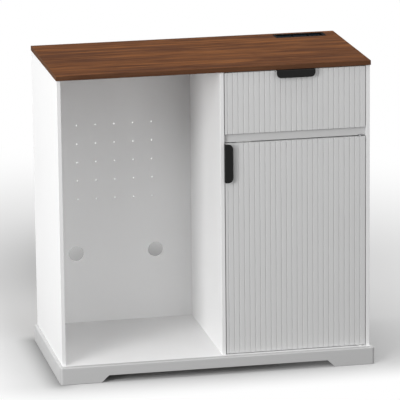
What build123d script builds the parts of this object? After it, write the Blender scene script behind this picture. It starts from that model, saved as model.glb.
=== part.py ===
from build123d import *
import os

# A white bar cabinet with a walnut top: an open bay for a small fridge on the left, and on the
# right a drawer above a cupboard, both with fluted fronts.
# Millimetres. X runs to the right, Y to the back and Z up from the floor, with the origin on the
# floor under the middle of the whole cabinet.

# Overall
top_width = 1000.0
top_depth = 498.0
top_thickness = 15.0
overall_height = 986.0
panel_thickness = 12.0
top_side_overhang = 2.0
top_front_overhang = 5.0
left_bay_width = 503.0
top_arris_radius = 1.0

# Base and plinth
plinth_height = 56.0
plinth_front_projection = 28.0
plinth_side_projection = 10.0
plinth_lift = 1.0
base_thickness = 16.0
apron_thickness = 18.0
plinth_board_thickness = 15.0
plinth_corner_radius = 9.0
plinth_arris_radius = 4.0
foot_length = 129.5
foot_slope_length = 25.0
apron_gap_height = 23.0
bearer_height = 15.0
corner_block_size = 45.0
glide_radius = 12.0
glide_thickness = 3.0

# Back panels
back_thickness = 5.0
back_setback = 6.5
groove_depth = 4.0
groove_clearance = 0.1
vent_radius = 2.5
vent_pitch = 61.7
vent_count = 5
vent_centre_height = 594.0
cable_hole_radius = 25.0
cable_hole_spacing = 263.5
cable_hole_height = 288.0

# Fluted fronts
front_thickness = 15.0
front_gap = 2.5
door_bottom_gap = 3.0
drawer_front_height = 196.0
rail_gap = 2.5
flute_pitch = 17.05
flute_width = 3.6
flute_depth = 1.7
flute_start = 9.2

# Rail and fixed shelf between drawer and cupboard
rail_height = 25.0
rail_depth = 18.0
rail_recess = 9.0
dust_board_thickness = 12.0

# Drawer box
drawer_top_gap = 3.0
drawer_side_height = 140.0
drawer_side_lift = 18.0
drawer_board_thickness = 12.0
drawer_box_depth = 385.0
drawer_bottom_thickness = 5.0
drawer_bottom_lift = 10.0
drawer_groove_depth = 5.0

# Drawer runners, each a case, a middle and a drawer member
runner_length = 380.0
runner_height = 45.0
runner_steel = 1.2
runner_play = 0.5
runner_space = 13.0
runner_setback = 2.0
runner_centre_lift = 78.0
runner_screw_end_distance = 76.0

# Edge pulls, the same part on the drawer and the door
pull_length = 124.0
pull_projection = 13.0
pull_lip = 24.5
pull_steel = 1.5
pull_back_flange = 18.0
pull_corner_radius = 14.0
pull_screw_spacing = 80.0

# Door pivots
pivot_edge_distance = 15.0
pin_radius = 3.0
pin_running_clearance = 0.05
pin_length_in_door = 30.0
collar_radius = 6.0
collar_thickness = 1.5
bush_radius = 5.0
bush_flange_radius = 7.5
bush_flange_thickness = 1.2
bush_depth = 12.0
bracket_thickness = 3.0
bracket_width = 14.0
bracket_length = 24.0
bracket_screw_end_distance = 3.4
bracket_screw_spacing = 6.7

# Magnetic catch
catch_width = 46.0
catch_depth = 13.0
catch_height = 16.0
catch_edge_distance = 40.0
catch_screw_edge_distance = 4.6
magnet_width = 30.0
magnet_height = 8.0
magnet_depth = 6.0
magnet_lift = 2.0
strike_width = 40.0
strike_height = 9.0
strike_thickness = 1.0
strike_gap = 0.3
strike_screw_edge_distance = 6.0

# Adjustable shelf
shelf_thickness = 12.0
shelf_side_clearance = 1.0
shelf_front_setback = 22.0
shelf_back_clearance = 2.0
shelf_pin_radius = 2.5
shelf_pin_length = 17.0
shelf_pin_flange = 1.0
shelf_pin_flange_radius = 5.0
shelf_pin_edge_distance = 60.0
shelf_hole_pitch = 64.0
shelf_hole_count = 5
shelf_hole_depth = 9.0
shelf_pin_height = 415.0

# Fasteners
dowel_radius = 3.0
dowel_in_board = 10.0
dowel_in_panel = 20.0
dowel_edge_distance = 40.0
rail_dowel_in_panel = 8.0
rail_dowel_in_rail = 14.0
cam_radius = 7.5
cam_depth = 9.6
cam_distance = 24.0
cam_edge_distance = 85.0
bolt_radius = 3.0
bolt_in_board = 9.0
base_screw_radius = 2.4
base_screw_length = 50.0
base_screw_head_radius = 4.0
base_screw_head_height = 3.0
small_screw_radius = 1.75
small_screw_length = 10.0
small_head_radius = 3.4
small_head_height = 2.0
flat_head_radius = 2.6
drawer_back_screw_length = 36.0
fit_clearance = 0.15

# Power unit let into the top
power_length = 168.0
power_width = 60.0
power_right_margin = 40.0
power_back_margin = 16.0
bezel_thickness = 2.0
bezel_rim = 9.0
bezel_corner_radius = 6.0
housing_wall = 2.0
housing_depth = 46.0
socket_recess = 2.0
socket_block_length = 46.0
socket_block_depth = 24.0
port_block_length = 38.0
gland_radius = 6.0
gland_length = 12.0
slot_height = 8.0
slot_width = 2.4
slot_spacing = 12.7
slot_depth = 14.0
earth_radius = 2.4
port_width = 5.0
port_length = 13.0
port_spacing = 15.0
port_tongue = 2.0

# How far a cut runs on past the face that it leaves through
cut_overrun = 1.0

# Planes and lines that the pieces share
rear_y = (top_depth - top_front_overhang + plinth_front_projection) / 2
plinth_front_y = -rear_y
panel_front_y = plinth_front_y + plinth_front_projection
top_front_y = panel_front_y - top_front_overhang
apron_back_y = plinth_front_y + apron_thickness
carcass_half = top_width / 2 - top_side_overhang
plinth_half = carcass_half + plinth_side_projection
base_top = plinth_height
base_under = base_top - base_thickness
top_under = overall_height - top_thickness
left_inner = -carcass_half + panel_thickness
divider_left = left_inner + left_bay_width
divider_right = divider_left + panel_thickness
right_inner = carcass_half - panel_thickness
back_rear_y = rear_y - back_setback
back_front_y = back_rear_y - back_thickness
front_back_y = panel_front_y + front_thickness
front_left = divider_right + front_gap
front_right = right_inner - front_gap
drawer_front_top = top_under - drawer_top_gap
drawer_front_bottom = drawer_front_top - drawer_front_height
rail_top = drawer_front_bottom - rail_gap
rail_bottom = rail_top - rail_height
rail_front_y = panel_front_y + rail_recess
rail_back_y = rail_front_y + rail_depth
door_bottom = base_top + door_bottom_gap
door_top = rail_bottom - rail_gap
panel_middle_y = (panel_front_y + back_front_y) / 2
pivot_x = front_right - pivot_edge_distance
pivot_y = panel_front_y + front_thickness / 2


# Shapes that many pieces use
def block(x0, x1, y0, y1, z0, z1):
    return Pos((x0 + x1) / 2, (y0 + y1) / 2, (z0 + z1) / 2) * Box(x1 - x0, y1 - y0, z1 - z0)


def rod_x(x0, x1, y, z, radius):
    return Pos((x0 + x1) / 2, y, z) * Rot(0, 90, 0) * Cylinder(radius, abs(x1 - x0))


def rod_y(x, y0, y1, z, radius):
    return Pos(x, (y0 + y1) / 2, z) * Rot(90, 0, 0) * Cylinder(radius, abs(y1 - y0))


def rod_z(x, y, z0, z1, radius):
    return Pos(x, y, (z0 + z1) / 2) * Cylinder(radius, abs(z1 - z0))


def group(solids):
    return Compound(children=[solid for solid in solids])


nodes = {}

# Lines of dowels, cams and screws along the three upright panels
upright_centres = [
    -carcass_half + panel_thickness / 2,
    divider_left + panel_thickness / 2,
    carcass_half - panel_thickness / 2,
]
dowel_ys = [
    panel_front_y + dowel_edge_distance,
    panel_middle_y,
    back_front_y - dowel_edge_distance,
]
cam_ys = [panel_front_y + cam_edge_distance, back_front_y - cam_edge_distance]
top_cam_z = top_under - cam_distance

# A bolt stops short of its cam, and the hole for it runs on into the cam's pocket
bolt_reach = cam_distance - cam_radius - fit_clearance
bolt_hole_reach = cam_distance


def upright_dowels(x, clearance):
    radius = dowel_radius + clearance
    pieces = []
    for y in dowel_ys:
        upper = top_under + dowel_in_board + clearance
        lower = base_top - dowel_in_board - clearance
        pieces.append(rod_z(x, y, top_under - dowel_in_panel - clearance, upper, radius))
        pieces.append(rod_z(x, y, lower, base_top + dowel_in_panel + clearance, radius))
    return pieces


def top_bolts(x, clearance, reach):
    upper = top_under + bolt_in_board + clearance
    return [rod_z(x, y, top_under - reach, upper, bolt_radius + clearance) for y in cam_ys]


def base_screw(x, y, clearance):
    head_top = base_under + base_screw_head_height + clearance
    shank_top = base_under + base_screw_length + clearance
    head = rod_z(x, y, base_under, head_top, base_screw_head_radius + clearance)
    return head + rod_z(x, y, base_under, shank_top, base_screw_radius + clearance)


def base_screws(x, clearance):
    return [base_screw(x, y, clearance) for y in cam_ys]


def top_cams(face_x, inward, clearance):
    deep = face_x + inward * (cam_depth + clearance)
    return [rod_x(face_x, deep, y, top_cam_z, cam_radius + clearance) for y in cam_ys]


# Each upright panel takes its cams from the face that looks into the drawer's bay, or, on the
# left panel, into the fridge's bay.
cam_faces = [(left_inner, -1), (divider_right, -1), (right_inner, 1)]

# Fixed shelf's cams, from underneath, and their bolts in the divider and the right panel
dust_board_under = rail_top - dust_board_thickness
dust_bolt_z = rail_top - dust_board_thickness / 2
dust_cam_ys = [rail_back_y + dowel_edge_distance, back_front_y - cam_edge_distance]


def dust_cams(clearance):
    upper = dust_board_under + cam_depth + clearance
    pieces = []
    for y in dust_cam_ys:
        for x in (divider_right + cam_distance, right_inner - cam_distance):
            pieces.append(rod_z(x, y, dust_board_under, upper, cam_radius + clearance))
    return pieces


def dust_bolts(clearance, reach):
    radius = bolt_radius + clearance
    depth = rail_dowel_in_panel + clearance
    pieces = []
    for y in dust_cam_ys:
        pieces.append(rod_x(divider_right - depth, divider_right + reach, y, dust_bolt_z, radius))
        pieces.append(rod_x(right_inner - reach, right_inner + depth, y, dust_bolt_z, radius))
    return pieces


rail_dowel_y = (rail_front_y + rail_back_y) / 2
rail_dowel_z = (rail_bottom + dust_board_under) / 2


def rail_dowels(clearance):
    radius = dowel_radius + clearance
    inside = rail_dowel_in_rail + clearance
    outside = rail_dowel_in_panel + clearance
    y, z = rail_dowel_y, rail_dowel_z
    return [
        rod_x(divider_right - outside, divider_right + inside, y, z, radius),
        rod_x(right_inner - inside, right_inner + outside, y, z, radius),
    ]


# Shelf pins stand in one row of holes out of five
shelf_front_y = front_back_y + shelf_front_setback
shelf_back_y = back_front_y - shelf_back_clearance
shelf_pin_ys = [
    shelf_front_y + shelf_pin_edge_distance,
    shelf_back_y - shelf_pin_edge_distance,
]


def shelf_holes(face_x, outward):
    radius = shelf_pin_radius + fit_clearance
    deep = face_x + outward * shelf_hole_depth
    pieces = []
    for row in range(shelf_hole_count):
        z = shelf_pin_height + (row - shelf_hole_count // 2) * shelf_hole_pitch
        for y in shelf_pin_ys:
            pieces.append(rod_x(face_x, deep, y, z, radius))
    return pieces


# Drawer runners: the case member opens to the drawer, the drawer member opens to the panel, and
# the middle member slides between them.
runner_front_y = front_back_y + runner_setback
runner_back_y = runner_front_y + runner_length
runner_z = drawer_front_bottom + runner_centre_lift
runner_screw_ys = [
    runner_front_y + runner_screw_end_distance,
    runner_back_y - runner_screw_end_distance,
]


def channel(web_x, toward, height, depth):
    half = height / 2
    far = web_x + toward * depth
    x0, x1 = min(web_x, far), max(web_x, far)
    outer = block(x0, x1, runner_front_y, runner_back_y, runner_z - half, runner_z + half)
    inside_web = web_x + toward * runner_steel
    past = far + toward * cut_overrun
    c0, c1 = min(inside_web, past), max(inside_web, past)
    low, high = runner_z - half + runner_steel, runner_z + half - runner_steel
    front, back = runner_front_y - cut_overrun, runner_back_y + cut_overrun
    return outer - block(c0, c1, front, back, low, high)


def runner_screw(face_x, outward, y, clearance):
    head = rod_x(face_x, face_x - outward * runner_steel, y, runner_z, small_head_radius + clearance)
    tip = face_x + outward * (small_screw_length + clearance)
    return head + rod_x(face_x, tip, y, runner_z, small_screw_radius + clearance)


def runner_set(wall_x, toward):
    # toward is the direction from the panel to the drawer
    nest = runner_steel + runner_play
    case = channel(wall_x, toward, runner_height, runner_space - 2 * runner_play - runner_steel)
    middle_web = wall_x + toward * nest
    middle_depth = runner_space - nest - runner_steel - runner_play
    middle = channel(middle_web, toward, runner_height - 2 * nest, middle_depth)
    drawer_web = wall_x + toward * runner_space
    drawer_depth = runner_space - 2 * nest
    drawer = channel(drawer_web, -toward, runner_height - 4 * nest, drawer_depth)
    for y in runner_screw_ys:
        case -= runner_screw(wall_x, -toward, y, fit_clearance)
        drawer -= runner_screw(drawer_web, toward, y, fit_clearance)
    return case, middle, drawer


# Top board, grooved underneath for the backs and cut out for the power unit
power_right = top_width / 2 - power_right_margin
power_left = power_right - power_length
power_back = rear_y - power_back_margin
power_front = power_back - power_width
housing_inset = bezel_rim - housing_wall
housing_left = power_left + housing_inset
housing_right = power_right - housing_inset
housing_front = power_front + housing_inset
housing_back = power_back - housing_inset
bezel_under = overall_height - bezel_thickness


def rounded_slab(x0, x1, y0, y1, z0, z1, radius):
    slab = block(x0, x1, y0, y1, z0, z1)
    return fillet(slab.edges().filter_by(Axis.Z), radius)


def back_slot(x0, x1, z0, z1):
    front = back_front_y - groove_clearance
    return block(x0, x1, front, back_rear_y + groove_clearance, z0, z1)


back_spans = [(left_inner, divider_left), (divider_right, right_inner)]
groove_reach = groove_depth + groove_clearance

top_board = block(
    -top_width / 2, top_width / 2, top_front_y, rear_y, top_under, overall_height
)
top_board = fillet(top_board.edges().group_by(Axis.Z)[-1], top_arris_radius)
for start, end in back_spans:
    top_board -= back_slot(
        start - groove_reach, end + groove_reach, top_under, top_under + groove_reach
    )
top_board -= rounded_slab(
    power_left - fit_clearance, power_right + fit_clearance,
    power_front - fit_clearance, power_back + fit_clearance,
    bezel_under, overall_height, bezel_corner_radius
)
top_board -= block(
    housing_left - fit_clearance, housing_right + fit_clearance,
    housing_front - fit_clearance, housing_back + fit_clearance,
    top_under, overall_height
)
for x in upright_centres:
    top_board -= upright_dowels(x, fit_clearance)
    top_board -= top_bolts(x, fit_clearance, bolt_hole_reach)
nodes["top_board"] = top_board


# Upright panels: two sides and the divider between the bays
def upright(x0, x1):
    return block(x0, x1, panel_front_y, rear_y, base_top, top_under)


left_panel = upright(-carcass_half, left_inner)
left_panel -= back_slot(left_inner - groove_reach, left_inner, base_top, top_under)

divider = upright(divider_left, divider_right)
divider -= back_slot(divider_left, divider_left + groove_reach, base_top, top_under)
divider -= back_slot(divider_right - groove_reach, divider_right, base_top, top_under)
divider -= shelf_holes(divider_right, -1)
divider -= dust_bolts(fit_clearance, bolt_hole_reach)
divider -= rail_dowels(fit_clearance)
divider -= [runner_screw(divider_right, -1, y, fit_clearance) for y in runner_screw_ys]

right_panel = upright(right_inner, carcass_half)
right_panel -= back_slot(right_inner, right_inner + groove_reach, base_top, top_under)
right_panel -= shelf_holes(right_inner, 1)
right_panel -= dust_bolts(fit_clearance, bolt_hole_reach)
right_panel -= rail_dowels(fit_clearance)
right_panel -= [runner_screw(right_inner, 1, y, fit_clearance) for y in runner_screw_ys]

uprights = []
for panel, x, (face_x, inward) in zip((left_panel, divider, right_panel), upright_centres, cam_faces):
    panel -= upright_dowels(x, fit_clearance)
    panel -= top_bolts(x, fit_clearance, bolt_hole_reach)
    panel -= base_screws(x, fit_clearance)
    panel -= top_cams(face_x, inward, fit_clearance)
    uprights.append(panel)
nodes["left_side_panel"], nodes["divider_panel"], nodes["right_side_panel"] = uprights

# Base board, the floor of both bays, with its outer top edges rounded as the apron's is
base_board = block(-plinth_half, plinth_half, apron_back_y, rear_y, base_under, base_top)
base_side_edges = base_board.edges().filter_by(Axis.Y).group_by(Axis.Z)[-1]
base_board = fillet(base_side_edges, plinth_arris_radius)
for start, end in back_spans:
    base_board -= back_slot(
        start - groove_reach, end + groove_reach, base_top - groove_reach, base_top
    )
for x in upright_centres:
    base_board -= upright_dowels(x, fit_clearance)
    base_board -= base_screws(x, fit_clearance)
bush_hole_bottom = base_top - bush_depth
base_board -= rod_z(
    pivot_x, pivot_y, bush_hole_bottom - fit_clearance, base_top, bush_radius + fit_clearance
)
nodes["base_board"] = base_board

# Front apron with two bracket feet, its front corners and top edge rounded
apron = block(-plinth_half, plinth_half, plinth_front_y, apron_back_y, plinth_lift, base_top)
apron_corners = apron.edges().filter_by(Axis.Z).group_by(Axis.Y)[0]
apron = fillet(apron_corners, plinth_corner_radius)
apron_rim = apron.edges().group_by(Axis.Z)[-1].sort_by(Axis.Y)[:-1]
apron = fillet(apron_rim, plinth_arris_radius)
foot_end = plinth_half - foot_length
gap_outline = Polyline(
    (-foot_end, 0),
    (-foot_end + foot_slope_length, apron_gap_height),
    (foot_end - foot_slope_length, apron_gap_height),
    (foot_end, 0),
    close=True
)
gap_face = make_face(Plane.XZ * gap_outline)
apron -= Pos(0, rear_y, 0) * extrude(gap_face, 2 * rear_y, both=True)
nodes["plinth_front"] = apron

# Side and rear boards of the plinth, under the base board
side_board_inner = plinth_half - plinth_board_thickness
rear_board_front = rear_y - plinth_board_thickness
nodes["plinth_left"] = block(
    -plinth_half, -side_board_inner, apron_back_y, rear_y, plinth_lift, base_under
)
nodes["plinth_right"] = block(
    side_board_inner, plinth_half, apron_back_y, rear_y, plinth_lift, base_under
)
nodes["plinth_rear"] = block(
    -side_board_inner, side_board_inner, rear_board_front, rear_y, plinth_lift, base_under
)

# Bearers from apron to rear board, under the divider and under the middle of the fridge's bay
bearer_half = plinth_board_thickness / 2
bearer_centres = [(left_inner + divider_left) / 2, divider_left + panel_thickness / 2]
nodes["plinth_bearers"] = group([
    block(x - bearer_half, x + bearer_half, apron_back_y, rear_board_front,
          base_under - bearer_height, base_under)
    for x in bearer_centres
])

# Corner blocks with a nailed glide under each, which the cabinet stands on
block_centres = []
corner_blocks = []
for side in (-1, 1):
    for y0, y1 in (
        (apron_back_y, apron_back_y + corner_block_size),
        (rear_board_front - corner_block_size, rear_board_front)
    ):
        x0 = side * side_board_inner
        x1 = side * (side_board_inner - corner_block_size)
        corner_blocks.append(block(min(x0, x1), max(x0, x1), y0, y1, glide_thickness, base_under))
        block_centres.append(((x0 + x1) / 2, (y0 + y1) / 2))
nodes["corner_blocks"] = group(corner_blocks)
nodes["floor_glides"] = group([
    rod_z(x, y, 0, glide_thickness, glide_radius) for x, y in block_centres
])


# Back panels in their grooves; the fridge's one has air vents and two cable holes
def back_panel(start, end):
    return block(
        start - groove_depth, end + groove_depth, back_front_y, back_rear_y,
        base_top - groove_depth, top_under + groove_depth
    )


bay_middle = (left_inner + divider_left) / 2
left_back = back_panel(left_inner, divider_left)
vent_offsets = [(step - (vent_count - 1) / 2) * vent_pitch for step in range(vent_count)]
left_back -= [
    rod_y(bay_middle + dx, back_front_y, back_rear_y, vent_centre_height + dz, vent_radius)
    for dx in vent_offsets
    for dz in vent_offsets
]
left_back -= [
    rod_y(bay_middle + side * cable_hole_spacing / 2, back_front_y, back_rear_y,
          cable_hole_height, cable_hole_radius)
    for side in (-1, 1)
]
nodes["left_back_panel"] = left_back
nodes["right_back_panel"] = back_panel(divider_right, right_inner)

# Rail between drawer and door, with the pivot bracket let in flush underneath
bracket_top = rail_bottom + bracket_thickness
bracket_back_y = pivot_y + bracket_length - bracket_width / 2
bracket_half = bracket_width / 2
bracket_screw_ys = [
    bracket_back_y - bracket_screw_end_distance - bracket_screw_spacing,
    bracket_back_y - bracket_screw_end_distance,
]


def bracket_screw(y, clearance):
    head_top = rail_bottom + small_head_height + clearance
    tip = rail_bottom + small_screw_length + clearance
    head = rod_z(pivot_x, y, rail_bottom, head_top, flat_head_radius + clearance)
    return head + rod_z(pivot_x, y, rail_bottom, tip, small_screw_radius + clearance)


rail = block(divider_right, right_inner, rail_front_y, rail_back_y, rail_bottom, rail_top)
rail -= block(
    pivot_x - bracket_half - fit_clearance, pivot_x + bracket_half + fit_clearance,
    rail_front_y, bracket_back_y + fit_clearance, rail_bottom, bracket_top
)
rail -= rail_dowels(fit_clearance)
rail -= [bracket_screw(y, fit_clearance) for y in bracket_screw_ys]

catch_left = front_left + catch_edge_distance
catch_right = catch_left + catch_width
catch_bottom = rail_bottom - catch_height
strike_back_y = front_back_y + strike_thickness
catch_front_y = strike_back_y + strike_gap
catch_back_y = catch_front_y + catch_depth
catch_screw_xs = [catch_left + catch_screw_edge_distance, catch_right - catch_screw_edge_distance]
catch_screw_y = (catch_front_y + catch_back_y) / 2


def catch_screw(x, clearance):
    tip = rail_bottom + small_screw_length + clearance
    low = catch_bottom - clearance
    head_top = catch_bottom + small_head_height + clearance
    head = rod_z(x, catch_screw_y, low, head_top, flat_head_radius + clearance)
    return head + rod_z(x, catch_screw_y, low, tip, small_screw_radius + clearance)


rail -= [catch_screw(x, fit_clearance) for x in catch_screw_xs]
nodes["mid_rail"] = rail

# Fixed shelf behind the rail, the floor of the drawer's space
dust_board = block(
    divider_right, right_inner, rail_back_y, back_front_y, dust_board_under, rail_top
)
dust_board -= dust_cams(fit_clearance)
dust_board -= dust_bolts(fit_clearance, bolt_hole_reach)
nodes["dust_board"] = dust_board

# Adjustable shelf on four pins
shelf_bottom = shelf_pin_height + shelf_pin_radius
nodes["adjustable_shelf"] = block(
    divider_right + shelf_side_clearance + shelf_pin_flange,
    right_inner - shelf_side_clearance - shelf_pin_flange,
    shelf_front_y, shelf_back_y, shelf_bottom, shelf_bottom + shelf_thickness
)


def shelf_pin(face_x, inward, y):
    start = face_x - inward * (shelf_hole_depth - fit_clearance)
    end = start + inward * shelf_pin_length
    flange_end = face_x + inward * shelf_pin_flange
    flange = rod_x(face_x, flange_end, y, shelf_pin_height, shelf_pin_flange_radius)
    return rod_x(start, end, y, shelf_pin_height, shelf_pin_radius) + flange


nodes["shelf_pins"] = group(
    [shelf_pin(divider_right, 1, y) for y in shelf_pin_ys]
    + [shelf_pin(right_inner, -1, y) for y in shelf_pin_ys]
)

# Dowels, cams, bolts and screws of the carcass
carcass_dowels = rail_dowels(0)
carcass_cams = dust_cams(0)
carcass_bolts = dust_bolts(0, bolt_reach)
carcass_base_screws = []
for x, (face_x, inward) in zip(upright_centres, cam_faces):
    carcass_dowels += upright_dowels(x, 0)
    carcass_cams += top_cams(face_x, inward, 0)
    carcass_bolts += top_bolts(x, 0, bolt_reach)
    carcass_base_screws += base_screws(x, 0)
nodes["panel_dowels"] = group(carcass_dowels)
nodes["cam_locks"] = group(carcass_cams)
nodes["cam_bolts"] = group(carcass_bolts)
nodes["base_screws"] = group(carcass_base_screws)

# Fluted boards: the drawer's front and the door
def fluted_board(z0, z1):
    edge = [Line((front_left, front_back_y), (front_left, panel_front_y))]
    x = front_left
    groove = front_left + flute_start
    while groove + flute_width < front_right:
        left, right = groove - flute_width / 2, groove + flute_width / 2
        edge.append(Line((x, panel_front_y), (left, panel_front_y)))
        edge.append(ThreePointArc(
            (left, panel_front_y), (groove, panel_front_y + flute_depth), (right, panel_front_y)
        ))
        x = right
        groove += flute_pitch
    edge.append(Line((x, panel_front_y), (front_right, panel_front_y)))
    edge.append(Line((front_right, panel_front_y), (front_right, front_back_y)))
    edge.append(Line((front_right, front_back_y), (front_left, front_back_y)))
    return Pos(0, 0, z0) * extrude(make_face(edge), z1 - z0)


# Drawer box: sides, back and bottom behind the fluted front
box_left = divider_right + runner_space
box_right = right_inner - runner_space
side_bottom = drawer_front_bottom + drawer_side_lift
side_top = side_bottom + drawer_side_height
bottom_z = side_bottom + drawer_bottom_lift
bottom_top = bottom_z + drawer_bottom_thickness
box_back_y = front_back_y + drawer_box_depth
drawer_cam_zs = [
    side_bottom + drawer_bottom_lift + drawer_bottom_thickness + 2 * cam_radius,
    side_top - 2 * cam_radius,
]
drawer_slot_low = bottom_z - groove_clearance
drawer_slot_high = bottom_top + groove_clearance
drawer_slot_reach = drawer_groove_depth + groove_clearance


def drawer_cams(outer_x, inward, clearance):
    inner_x = outer_x + inward * drawer_board_thickness
    deep = inner_x - inward * (cam_depth + clearance)
    y = front_back_y + cam_distance
    return [rod_x(inner_x, deep, y, z, cam_radius + clearance) for z in drawer_cam_zs]


def drawer_bolts(outer_x, inward, clearance, reach):
    x = outer_x + inward * drawer_board_thickness / 2
    start = front_back_y - bolt_in_board - clearance
    end = front_back_y + reach
    return [rod_y(x, start, end, z, bolt_radius + clearance) for z in drawer_cam_zs]


def drawer_back_screws(outer_x, inward, clearance):
    y = box_back_y - drawer_board_thickness / 2
    pieces = []
    for z in drawer_cam_zs:
        head_end = outer_x + inward * (small_head_height + clearance)
        tip = outer_x + inward * (drawer_back_screw_length + clearance)
        head = rod_x(outer_x, head_end, y, z, flat_head_radius + clearance)
        pieces.append(head + rod_x(outer_x, tip, y, z, small_screw_radius + clearance))
    return pieces


def drawer_side(outer_x, inward):
    inner_x = outer_x + inward * drawer_board_thickness
    x0, x1 = min(outer_x, inner_x), max(outer_x, inner_x)
    side = block(x0, x1, front_back_y, box_back_y, side_bottom, side_top)
    slot_x = inner_x - inward * drawer_slot_reach
    side -= block(min(inner_x, slot_x), max(inner_x, slot_x), front_back_y, box_back_y,
                  drawer_slot_low, drawer_slot_high)
    side -= drawer_cams(outer_x, inward, fit_clearance)
    side -= drawer_bolts(outer_x, inward, fit_clearance, bolt_hole_reach)
    side -= drawer_back_screws(outer_x, inward, fit_clearance)
    side -= [runner_screw(outer_x, inward, y, fit_clearance) for y in runner_screw_ys]
    return side


nodes["drawer_left_side"] = drawer_side(box_left, 1)
nodes["drawer_right_side"] = drawer_side(box_right, -1)
box_inner_left = box_left + drawer_board_thickness
box_inner_right = box_right - drawer_board_thickness
drawer_back = block(
    box_inner_left, box_inner_right, box_back_y - drawer_board_thickness, box_back_y,
    drawer_slot_high, side_top
)
drawer_back -= drawer_back_screws(box_left, 1, fit_clearance)
drawer_back -= drawer_back_screws(box_right, -1, fit_clearance)
nodes["drawer_back"] = drawer_back
nodes["drawer_bottom"] = block(
    box_inner_left - drawer_groove_depth, box_inner_right + drawer_groove_depth,
    front_back_y - drawer_groove_depth, box_back_y, bottom_z, bottom_top
)
nodes["drawer_cam_locks"] = group(drawer_cams(box_left, 1, 0) + drawer_cams(box_right, -1, 0))
nodes["drawer_cam_bolts"] = group(
    drawer_bolts(box_left, 1, 0, bolt_reach) + drawer_bolts(box_right, -1, 0, bolt_reach)
)
nodes["drawer_back_screws"] = group(
    drawer_back_screws(box_left, 1, 0) + drawer_back_screws(box_right, -1, 0)
)

# Edge pull of bent sheet steel, drawn as it lies on the drawer's top edge: u runs along the pull,
# v from the front's back face forwards, and w down from the top of the sheet. The back flange is
# screwed to the back of the front, and the rounded lip hangs clear of its face.
pull_span = front_thickness + pull_projection + pull_steel
pull_screw_drop = pull_back_flange / 2


def edge_pull():
    half = pull_length / 2
    web = block(-half, half, 0, pull_span, 0, pull_steel)
    flange = block(-half, half, 0, pull_steel, 0, pull_back_flange)
    lip = block(-half, half, pull_span - pull_steel, pull_span, 0, pull_lip)
    lip_corners = lip.edges().filter_by(Axis.Y).group_by(Axis.Z)[-1]
    lip = fillet(lip_corners, pull_corner_radius)
    for u in (-pull_screw_spacing / 2, pull_screw_spacing / 2):
        flange -= rod_y(u, 0, pull_steel, pull_screw_drop, small_screw_radius + fit_clearance)
    return web + flange + lip


def edge_pull_screws(clearance):
    pieces = []
    for u in (-pull_screw_spacing / 2, pull_screw_spacing / 2):
        tip = pull_steel + small_screw_length + clearance
        shank = rod_y(u, 0, tip, pull_screw_drop, small_screw_radius + clearance)
        head = rod_y(u, -small_head_height, 0, pull_screw_drop, small_head_radius + clearance)
        pieces.append(shank + head)
    return pieces


# On the drawer the sheet lies over the front's top edge, and on the door it stands against the
# door's left edge, with its upper end at the door's top.
drawer_middle = (front_left + front_right) / 2
on_drawer = Location(Plane(
    origin=(drawer_middle, front_back_y + pull_steel, drawer_front_top + pull_steel),
    x_dir=(1, 0, 0), z_dir=(0, 0, -1)
))
on_door = Location(Plane(
    origin=(front_left - pull_steel, front_back_y + pull_steel, door_top - pull_length / 2),
    x_dir=(0, 0, 1), z_dir=(1, 0, 0)
))
nodes["drawer_pull"] = on_drawer * edge_pull()
nodes["drawer_pull_screws"] = group([on_drawer * piece for piece in edge_pull_screws(0)])
nodes["door_pull"] = on_door * edge_pull()
nodes["door_pull_screws"] = group([on_door * piece for piece in edge_pull_screws(0)])

drawer_front = fluted_board(drawer_front_bottom, drawer_front_top)
drawer_front -= block(
    box_inner_left - drawer_slot_reach, box_inner_right + drawer_slot_reach,
    front_back_y - drawer_slot_reach, front_back_y, drawer_slot_low, drawer_slot_high
)
drawer_front -= drawer_bolts(box_left, 1, fit_clearance, bolt_hole_reach)
drawer_front -= drawer_bolts(box_right, -1, fit_clearance, bolt_hole_reach)
drawer_front -= [on_drawer * piece for piece in edge_pull_screws(fit_clearance)]
nodes["drawer_front"] = drawer_front

# Door, turning on a pin at top and bottom near its right edge
top_pin_end = bracket_top - fit_clearance
bottom_pin_end = bush_hole_bottom + fit_clearance
collar_bottom = door_bottom - collar_thickness


def pivot_pins(clearance):
    radius = pin_radius + clearance
    upper = rod_z(pivot_x, pivot_y, door_top - pin_length_in_door - clearance, top_pin_end, radius)
    lower_top = door_bottom + pin_length_in_door + clearance
    lower = rod_z(pivot_x, pivot_y, bottom_pin_end, lower_top, radius)
    collar = rod_z(pivot_x, pivot_y, collar_bottom, door_bottom, collar_radius)
    return [upper, lower + collar]


nodes["pivot_pins"] = group(pivot_pins(0))
strike_left = (catch_left + catch_right - strike_width) / 2
strike_middle_z = catch_bottom + magnet_lift + magnet_height / 2
strike_bottom = strike_middle_z - strike_height / 2
strike_top = strike_middle_z + strike_height / 2
strike_screw_xs = [
    strike_left + strike_screw_edge_distance,
    strike_left + strike_width - strike_screw_edge_distance,
]


def strike_screws(clearance):
    pieces = []
    for x in strike_screw_xs:
        tip = strike_back_y - small_screw_length - clearance
        pieces.append(rod_y(x, tip, strike_back_y, strike_middle_z, small_screw_radius + clearance))
    return pieces


strike = block(strike_left, strike_left + strike_width, front_back_y, strike_back_y,
               strike_bottom, strike_top)
strike -= strike_screws(fit_clearance)
nodes["strike_plate"] = strike
nodes["strike_screws"] = group(strike_screws(0))

door = fluted_board(door_bottom, door_top)
door -= pivot_pins(fit_clearance)
door -= strike_screws(fit_clearance)
door -= [on_door * piece for piece in edge_pull_screws(fit_clearance)]
nodes["door_panel"] = door

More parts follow.
